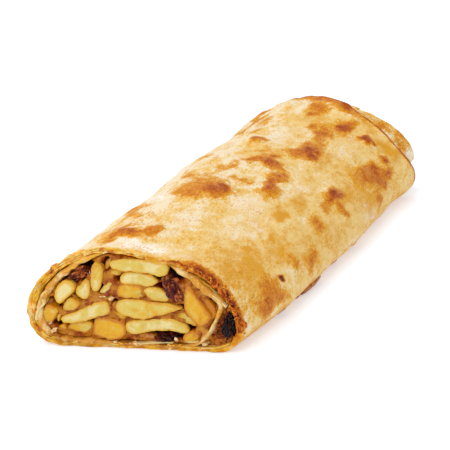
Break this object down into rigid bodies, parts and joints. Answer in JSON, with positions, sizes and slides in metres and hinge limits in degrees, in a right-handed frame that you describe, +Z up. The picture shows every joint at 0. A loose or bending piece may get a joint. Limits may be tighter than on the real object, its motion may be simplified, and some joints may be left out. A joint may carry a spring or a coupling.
{
  "type": "apple strudel",
  "caption": "Baked apple strudel roll, cut across at one end to show apple slices and raisins in syrup, and tucked shut at the other.",
  "frame": {"origin": "under the middle of the whole roll, at the height of its flat underside", "axes": "+Y along the roll, from its cut end to its tucked end; +Z up; +X to the right as seen facing the cut"},
  "size_m": [0.0936, 0.259, 0.0474],
  "materials": {
    "crust": "dry baked dough, cream with golden and brown blisters, faint sheen",
    "apple": "moist pale yellow apple flesh, glazed with amber syrup",
    "spiced_filling": "moist dark brown cinnamon crumbs and syrup",
    "raisin": "wet wrinkled dark brown raisin"
  },
  "bodies": {
    "root": {"pastry": "crust", "apple_filling": "apple", "pocket_filling": "spiced_filling", "raisin_1": "raisin", "raisin_2": "raisin", "raisin_3": "raisin", "raisin_4": "raisin"}
  },
  "joints": []
}
